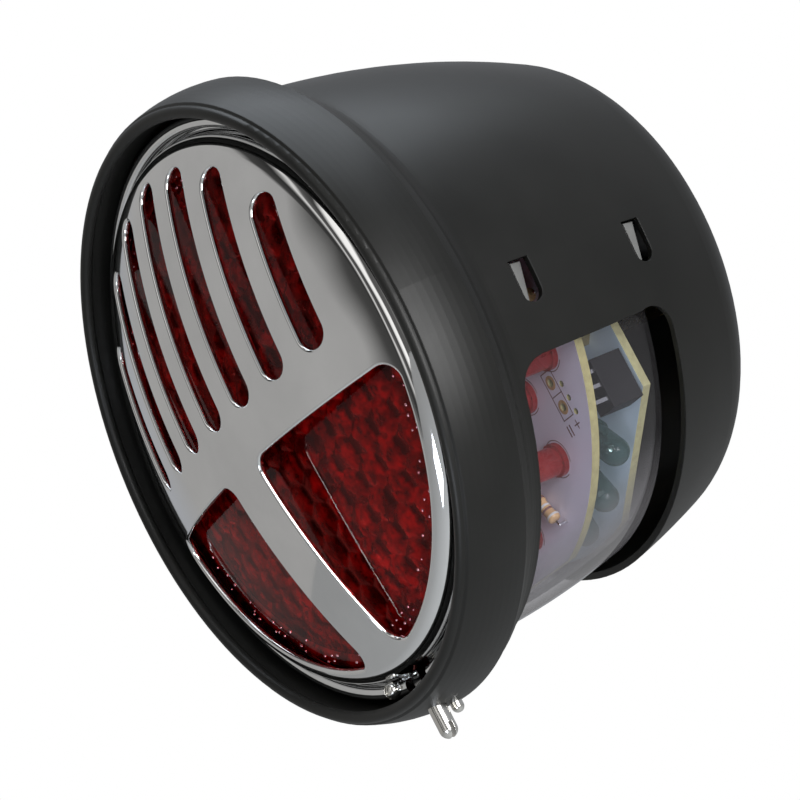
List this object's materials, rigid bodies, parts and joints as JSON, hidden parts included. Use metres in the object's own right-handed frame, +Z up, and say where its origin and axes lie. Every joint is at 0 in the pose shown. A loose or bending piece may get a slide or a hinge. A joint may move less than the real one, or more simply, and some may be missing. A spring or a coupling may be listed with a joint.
{
  "type": "motorcycle tail light",
  "caption": "Round drum tail light: red stop lens behind a chrome slotted grille, black can with a clear plate window underneath, lamp boards inside.",
  "frame": {"origin": "centre of the mounting face at the back of the can, midway between the two mounting holes", "axes": "+Y from the lens to the mounting face, +Z up, the window faces -Z, +X to the right when looking at the lens"},
  "size_m": [0.1118, 0.0842, 0.1169],
  "materials": {
    "black_paint": "satin",
    "bright_chrome": "polished",
    "nickel": "plated",
    "red_plastic": "gloss",
    "clear_plastic": "gloss",
    "black_rubber": "matte",
    "circuit_board": "satin",
    "brass": "satin",
    "red_lamp": "gloss",
    "clear_lamp": "gloss",
    "tinned_wire": "bright",
    "black_resin": "matte",
    "tan_ceramic": "gloss",
    "blue_sleeve": "gloss"
  },
  "bodies": {
    "can": {"can_body": "black_paint", "lens_gasket": "black_rubber", "window_lens": "clear_plastic", "window_gasket": "black_rubber", "front_board": "circuit_board", "rear_board": "circuit_board", "board_spacers": "brass", "rear_standoffs": "brass", "board_screws": "nickel", "red_leds": "red_lamp", "red_led_leads": "tinned_wire", "window_leds": "clear_lamp", "window_led_leads": "tinned_wire", "regulator": "black_resin", "regulator_leads": "tinned_wire", "resistors": "tan_ceramic", "resistor_leads": "tinned_wire", "capacitor": "blue_sleeve", "diodes": "black_resin", "diode_leads": "tinned_wire", "board_link_pins": "brass", "mounting_nuts": "nickel", "cable_grommet": "black_rubber", "lock_rivet": "nickel"},
    "cover": {"retaining_ring": "bright_chrome", "ring_clamp_screw": "nickel", "grille_plate": "bright_chrome", "red_lens": "red_plastic"},
    "lock": {"lock_screw": "nickel"}
  },
  "joints": [
    {"name": "cover_removal", "type": "slide", "parent": "can", "child": "cover", "axis": [0, -1, 0], "range_m": [0, 0.04]},
    {"name": "lock_screw_travel", "type": "slide", "parent": "can", "child": "lock", "axis": [0, 0, -1], "range_m": [0, 0.0035]}
  ]
}
